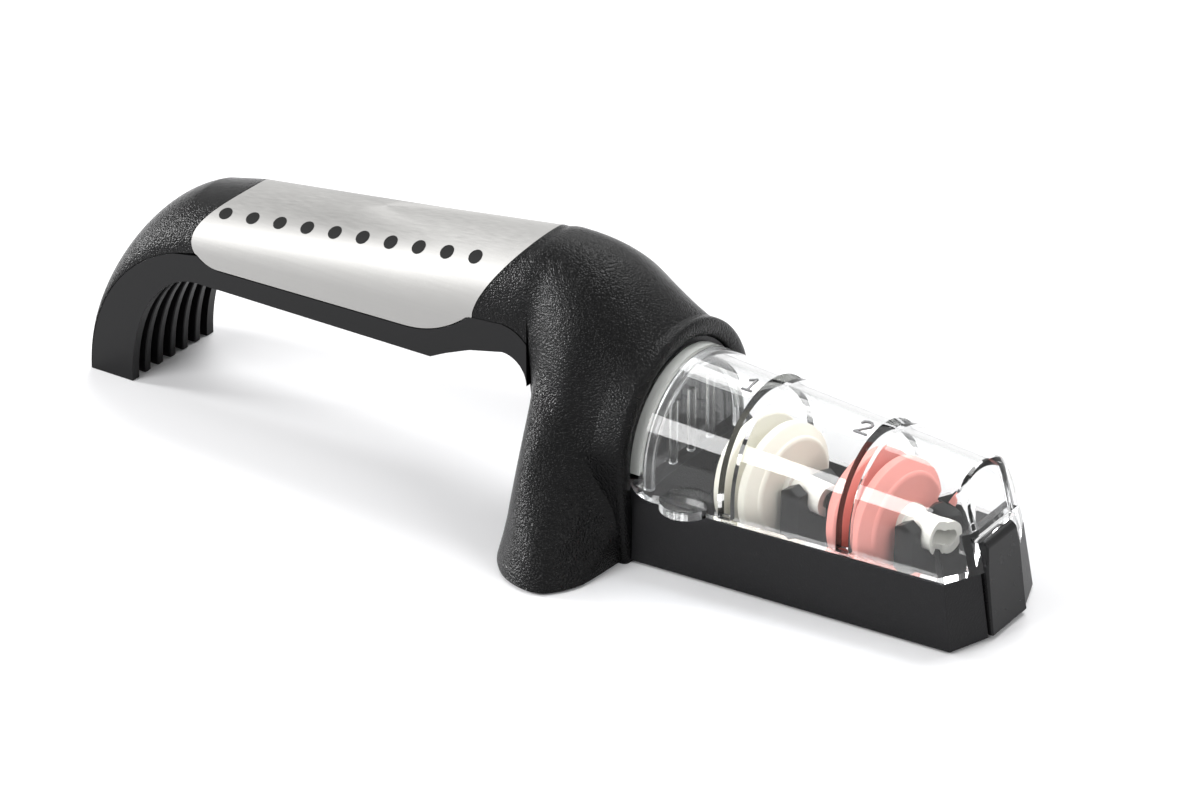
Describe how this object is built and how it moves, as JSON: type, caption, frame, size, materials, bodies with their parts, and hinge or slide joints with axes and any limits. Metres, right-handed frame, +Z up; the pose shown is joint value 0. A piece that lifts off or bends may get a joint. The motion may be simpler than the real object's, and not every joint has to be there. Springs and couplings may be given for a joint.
{
  "type": "knife_sharpener",
  "caption": "Pull through knife sharpener: black grained handle with a steel plate, winged guard and a clear covered water trough with white and pink wheels",
  "frame": {"origin": "on the surface it stands on, under the middle of its length and width", "axes": "+X from the heel of the handle to the nose with the latch, +Y to the left of that, +Z up"},
  "size_m": [0.236, 0.09, 0.0613],
  "materials": {
    "grained_black": "fine leather grain moulded into the surface, soft sheen",
    "satin_black": "smooth satin moulding",
    "brushed_plate": "brushed along the handle, slightly warm grey",
    "bond_film": "thin pale adhesive film",
    "screw_steel": "plain zinc plated",
    "box_black": "fine grain outside, smooth inside",
    "pad_rubber": "soft, slightly dusty",
    "rack_black": "polished black moulding",
    "latch_black": "glossy moulding with rounded edges",
    "clear_plastic": "clear polished polycarbonate",
    "axle_white": "white moulded nylon",
    "white_ceramic": "fine dry ceramic, creamy white",
    "pink_ceramic": "fine dry ceramic, salmon pink"
  },
  "bodies": {
    "base": {"upper_shell": "grained_black", "lower_shell": "satin_black", "handle_plate": "brushed_plate", "plate_tape": "bond_film", "shell_screws": "screw_steel", "wheel_box": "box_black", "box_screws": "screw_steel", "sole_plate": "satin_black", "sole_screws": "screw_steel", "guard_pads": "pad_rubber", "nose_pad": "pad_rubber", "axle_rack": "rack_black", "rack_screws": "screw_steel", "latch_pin": "screw_steel"},
    "latch": {"nose_latch": "latch_black"},
    "cover": {"clear_cover": "clear_plastic"},
    "coarse_wheel": {"coarse_axle": "axle_white", "coarse_rear_disc": "white_ceramic", "coarse_front_disc": "white_ceramic", "coarse_collars": "axle_white"},
    "fine_wheel": {"fine_axle": "axle_white", "fine_rear_disc": "pink_ceramic", "fine_front_disc": "pink_ceramic", "fine_collars": "axle_white"}
  },
  "joints": [
    {"name": "coarse_spin", "type": "hinge", "parent": "base", "child": "coarse_wheel", "pos_m": [0.059, 0, 0.0179], "axis": [0.9848, -0.1736, 0], "continuous": true},
    {"name": "fine_spin", "type": "hinge", "parent": "base", "child": "fine_wheel", "pos_m": [0.087, 0, 0.0179], "axis": [0.9848, -0.1736, 0], "continuous": true},
    {"name": "cover_lift", "type": "slide", "parent": "base", "child": "cover", "axis": [0, 0, 1], "range_m": [0, 0.032]},
    {"name": "latch_tip", "type": "hinge", "parent": "base", "child": "latch", "pos_m": [0.1144, 0, 0.0034], "axis": [0, 1, 0], "range_deg": [0, 7], "stiffness_Nm_per_rad": 0.02}
  ]
}
